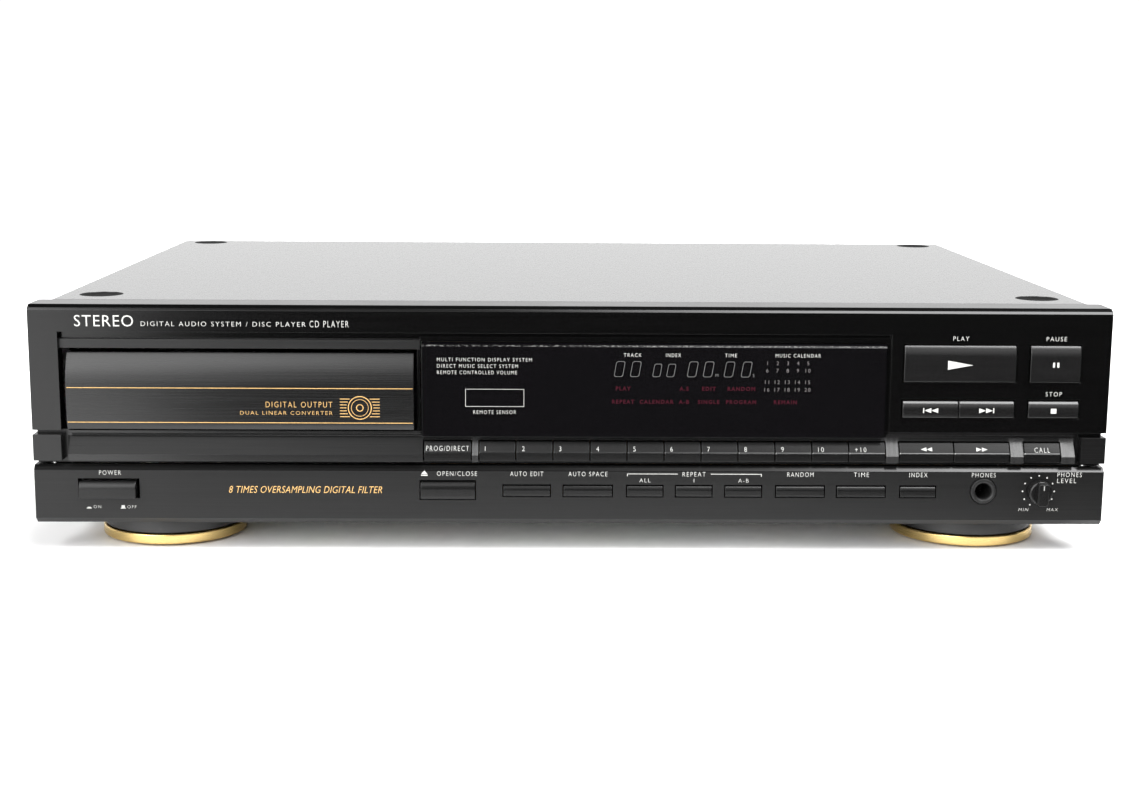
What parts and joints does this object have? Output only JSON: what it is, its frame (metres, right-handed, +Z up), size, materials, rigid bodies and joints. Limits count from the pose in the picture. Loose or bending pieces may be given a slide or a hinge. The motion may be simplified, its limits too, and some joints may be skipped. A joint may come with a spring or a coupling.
{
  "type": "cd player",
  "caption": "Full-width home CD player: drawer loader, display window, push buttons and a level knob on a dark fascia, sheet-metal case on round feet.",
  "frame": {"origin": "middle of the footprint's bounding box on the floor, mains cord included", "axes": "+X to the right seen from the front, +Y to the back, +Z up; the fascia faces -Y"},
  "size_m": [0.434, 0.344, 0.1009],
  "materials": {
    "fascia_black": "horizontally brushed black anodised",
    "rail_black": "brushed dark grey anodised",
    "lower_black": "matt charcoal paint",
    "cover_paint": "satin black paint on sheet steel",
    "rear_paint": "satin black paint",
    "bare_steel": "plated sheet steel",
    "window_acrylic": "smoked acrylic",
    "key_plastic": "fine satin charcoal plastic",
    "black_plastic": "moulded black plastic",
    "foot_plastic": "moulded black plastic with a felt pad",
    "gold_ring": "satin gold anodised ring",
    "gear_nylon": "natural nylon",
    "circuit_board": "phenolic board",
    "transformer_steel": "varnished laminations",
    "tube_glass": "dark glass tube",
    "cord_rubber": "smooth black flex"
  },
  "bodies": {
    "case": {"chassis": "bare_steel", "rear_panel": "rear_paint", "top_cover": "cover_paint", "upper_fascia": "fascia_black", "button_rail": "rail_black", "lower_fascia": "lower_black", "display_window": "window_acrylic", "foot_front_left": "foot_plastic", "foot_front_right": "foot_plastic", "foot_rear_left": "foot_plastic", "foot_rear_right": "foot_plastic", "foot_ring_left": "gold_ring", "foot_ring_right": "gold_ring", "loader_frame": "black_plastic", "clamp_bridge": "bare_steel", "main_board": "circuit_board", "front_board": "circuit_board", "display_tube": "tube_glass", "transformer": "transformer_steel", "power_cord": "cord_rubber", "output_jacks": "black_plastic", "phones_jack": "black_plastic"},
    "drawer": {"disc_tray": "black_plastic", "tray_front": "rail_black"},
    "drawer_gear": {"tray_gear": "gear_nylon"},
    "traverse": {"traverse_base": "bare_steel"},
    "turntable": {"spindle": "black_plastic"},
    "sled": {"pickup_sled": "black_plastic"},
    "clamp": {"clamp_puck": "black_plastic"},
    "level": {"level_knob": "black_plastic"},
    "play_key": {"play_button": "key_plastic"},
    "pause_key": {"pause_button": "key_plastic"},
    "skip_back_key": {"skip_back_button": "key_plastic"},
    "skip_forward_key": {"skip_forward_button": "key_plastic"},
    "stop_key": {"stop_button": "key_plastic"},
    "open_close_key": {"open_close_button": "key_plastic"},
    "auto_edit_key": {"auto_edit_button": "key_plastic"},
    "auto_space_key": {"auto_space_button": "key_plastic"},
    "repeat_all_key": {"repeat_all_button": "key_plastic"},
    "repeat_one_key": {"repeat_one_button": "key_plastic"},
    "repeat_ab_key": {"repeat_ab_button": "key_plastic"},
    "random_key": {"random_button": "key_plastic"},
    "time_key": {"time_button": "key_plastic"},
    "index_key": {"index_button": "key_plastic"},
    "power_key": {"power_button": "key_plastic"},
    "program_key": {"program_button": "key_plastic"},
    "number_1_key": {"number_1_button": "key_plastic"},
    "number_2_key": {"number_2_button": "key_plastic"},
    "number_3_key": {"number_3_button": "key_plastic"},
    "number_4_key": {"number_4_button": "key_plastic"},
    "number_5_key": {"number_5_button": "key_plastic"},
    "number_6_key": {"number_6_button": "key_plastic"},
    "number_7_key": {"number_7_button": "key_plastic"},
    "number_8_key": {"number_8_button": "key_plastic"},
    "number_9_key": {"number_9_button": "key_plastic"},
    "number_10_key": {"number_10_button": "key_plastic"},
    "plus_ten_key": {"plus_ten_button": "key_plastic"},
    "search_back_key": {"search_back_button": "key_plastic"},
    "search_forward_key": {"search_forward_button": "key_plastic"},
    "call_key": {"call_button": "key_plastic"}
  },
  "joints": [
    {"name": "drawer_slide", "type": "slide", "parent": "case", "child": "drawer", "axis": [0, -1, 0], "range_m": [0, 0.135]},
    {"name": "gear_spin", "type": "hinge", "parent": "case", "child": "drawer_gear", "pos_m": [-0.17985, -0.12625, 0.055], "axis": [0, 0, 1], "range_deg": [-10, 560]},
    {"name": "traverse_tilt", "type": "hinge", "parent": "case", "child": "traverse", "pos_m": [-0.1335, 0.01175, 0.0455], "axis": [1, 0, 0], "range_deg": [0, 5.2]},
    {"name": "turntable_spin", "type": "hinge", "parent": "traverse", "child": "turntable", "pos_m": [-0.1335, -0.08625, 0.064], "axis": [0, 0, 1], "continuous": true},
    {"name": "sled_slide", "type": "slide", "parent": "traverse", "child": "sled", "axis": [0, 1, 0], "range_m": [0, 0.035]},
    {"name": "clamp_spin", "type": "hinge", "parent": "case", "child": "clamp", "pos_m": [-0.1335, -0.08625, 0.07], "axis": [0, 0, 1], "continuous": true},
    {"name": "level_turn", "type": "hinge", "parent": "case", "child": "level", "pos_m": [0.1905, -0.16425, 0.0261], "axis": [0, 1, 0], "range_deg": [-150, 150]},
    {"name": "play_push", "type": "slide", "parent": "case", "child": "play_key", "axis": [0, 1, 0], "range_m": [0, 0.001]},
    {"name": "pause_push", "type": "slide", "parent": "case", "child": "pause_key", "axis": [0, 1, 0], "range_m": [0, 0.001]},
    {"name": "skip_back_push", "type": "slide", "parent": "case", "child": "skip_back_key", "axis": [0, 1, 0], "range_m": [0, 0.001]},
    {"name": "skip_forward_push", "type": "slide", "parent": "case", "child": "skip_forward_key", "axis": [0, 1, 0], "range_m": [0, 0.001]},
    {"name": "stop_push", "type": "slide", "parent": "case", "child": "stop_key", "axis": [0, 1, 0], "range_m": [0, 0.001]},
    {"name": "open_close_push", "type": "slide", "parent": "case", "child": "open_close_key", "axis": [0, 1, 0], "range_m": [0, 0.001]},
    {"name": "auto_edit_push", "type": "slide", "parent": "case", "child": "auto_edit_key", "axis": [0, 1, 0], "range_m": [0, 0.001]},
    {"name": "auto_space_push", "type": "slide", "parent": "case", "child": "auto_space_key", "axis": [0, 1, 0], "range_m": [0, 0.001]},
    {"name": "repeat_all_push", "type": "slide", "parent": "case", "child": "repeat_all_key", "axis": [0, 1, 0], "range_m": [0, 0.001]},
    {"name": "repeat_one_push", "type": "slide", "parent": "case", "child": "repeat_one_key", "axis": [0, 1, 0], "range_m": [0, 0.001]},
    {"name": "repeat_ab_push", "type": "slide", "parent": "case", "child": "repeat_ab_key", "axis": [0, 1, 0], "range_m": [0, 0.001]},
    {"name": "random_push", "type": "slide", "parent": "case", "child": "random_key", "axis": [0, 1, 0], "range_m": [0, 0.001]},
    {"name": "time_push", "type": "slide", "parent": "case", "child": "time_key", "axis": [0, 1, 0], "range_m": [0, 0.001]},
    {"name": "index_push", "type": "slide", "parent": "case", "child": "index_key", "axis": [0, 1, 0], "range_m": [0, 0.001]},
    {"name": "power_push", "type": "slide", "parent": "case", "child": "power_key", "axis": [0, 1, 0], "range_m": [0, 0.003]},
    {"name": "program_push", "type": "slide", "parent": "case", "child": "program_key", "axis": [0, 1, 0], "range_m": [0, 0.001]},
    {"name": "number_1_push", "type": "slide", "parent": "case", "child": "number_1_key", "axis": [0, 1, 0], "range_m": [0, 0.001]},
    {"name": "number_2_push", "type": "slide", "parent": "case", "child": "number_2_key", "axis": [0, 1, 0], "range_m": [0, 0.001]},
    {"name": "number_3_push", "type": "slide", "parent": "case", "child": "number_3_key", "axis": [0, 1, 0], "range_m": [0, 0.001]},
    {"name": "number_4_push", "type": "slide", "parent": "case", "child": "number_4_key", "axis": [0, 1, 0], "range_m": [0, 0.001]},
    {"name": "number_5_push", "type": "slide", "parent": "case", "child": "number_5_key", "axis": [0, 1, 0], "range_m": [0, 0.001]},
    {"name": "number_6_push", "type": "slide", "parent": "case", "child": "number_6_key", "axis": [0, 1, 0], "range_m": [0, 0.001]},
    {"name": "number_7_push", "type": "slide", "parent": "case", "child": "number_7_key", "axis": [0, 1, 0], "range_m": [0, 0.001]},
    {"name": "number_8_push", "type": "slide", "parent": "case", "child": "number_8_key", "axis": [0, 1, 0], "range_m": [0, 0.001]},
    {"name": "number_9_push", "type": "slide", "parent": "case", "child": "number_9_key", "axis": [0, 1, 0], "range_m": [0, 0.001]},
    {"name": "number_10_push", "type": "slide", "parent": "case", "child": "number_10_key", "axis": [0, 1, 0], "range_m": [0, 0.001]},
    {"name": "plus_ten_push", "type": "slide", "parent": "case", "child": "plus_ten_key", "axis": [0, 1, 0], "range_m": [0, 0.001]},
    {"name": "search_back_push", "type": "slide", "parent": "case", "child": "search_back_key", "axis": [0, 1, 0], "range_m": [0, 0.001]},
    {"name": "search_forward_push", "type": "slide", "parent": "case", "child": "search_forward_key", "axis": [0, 1, 0], "range_m": [0, 0.001]},
    {"name": "call_push", "type": "slide", "parent": "case", "child": "call_key", "axis": [0, 1, 0], "range_m": [0, 0.001]}
  ],
  "couplings": [
    {"joint": "gear_spin", "follows": "drawer_slide", "rad_per_m": 71.429},
    {"joint": "traverse_tilt", "follows": "drawer_slide", "rad_per_m": 0.64},
    {"joint": "clamp_spin", "follows": "turntable_spin", "ratio": 1}
  ]
}
